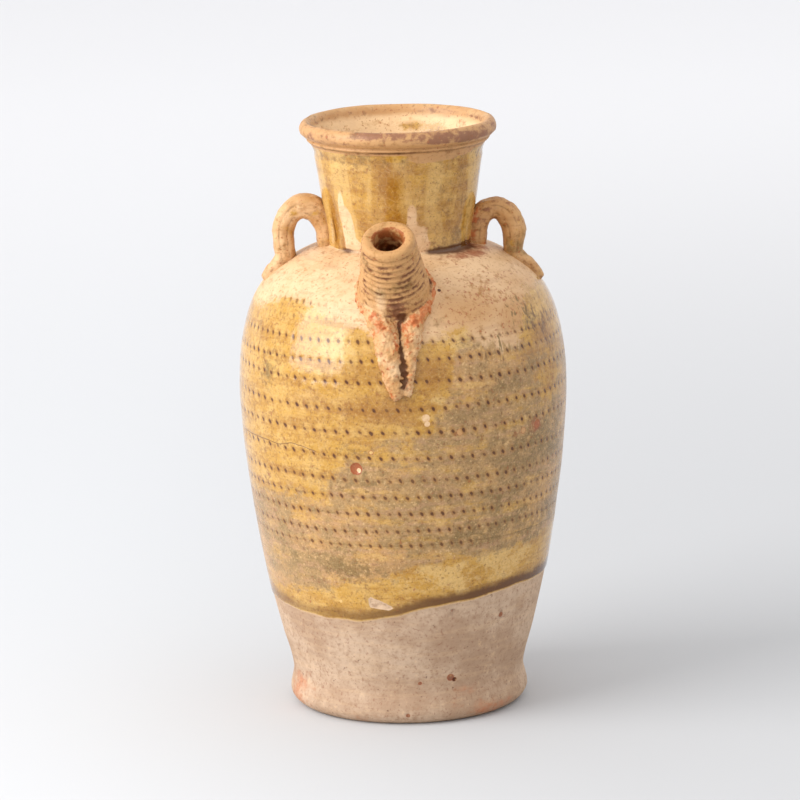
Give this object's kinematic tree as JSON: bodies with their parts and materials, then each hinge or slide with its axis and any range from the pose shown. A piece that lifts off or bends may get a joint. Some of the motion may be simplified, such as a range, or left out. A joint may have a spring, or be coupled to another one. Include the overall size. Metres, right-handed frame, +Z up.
{
  "type": "glazed stoneware ewer",
  "caption": "Glazed stoneware ewer: tall ovoid body on a low foot, flared neck with rolled rim, ringed tubular spout and loop lugs on the shoulder.",
  "frame": {"origin": "centre of the flat underside, on the axis the body was turned about", "axes": "+Z up along the axis of the turned body, -Y towards the side the spout stands on, the lugs at -X and +X"},
  "size_m": [0.1246, 0.1323, 0.225],
  "materials": {
    "glazed_clay": "thin honey-amber glaze, finely crackled, worn to matt buff clay on the shoulder, spout, lugs and foot"
  },
  "bodies": {
    "root": {"ewer": "glazed_clay"}
  },
  "joints": []
}
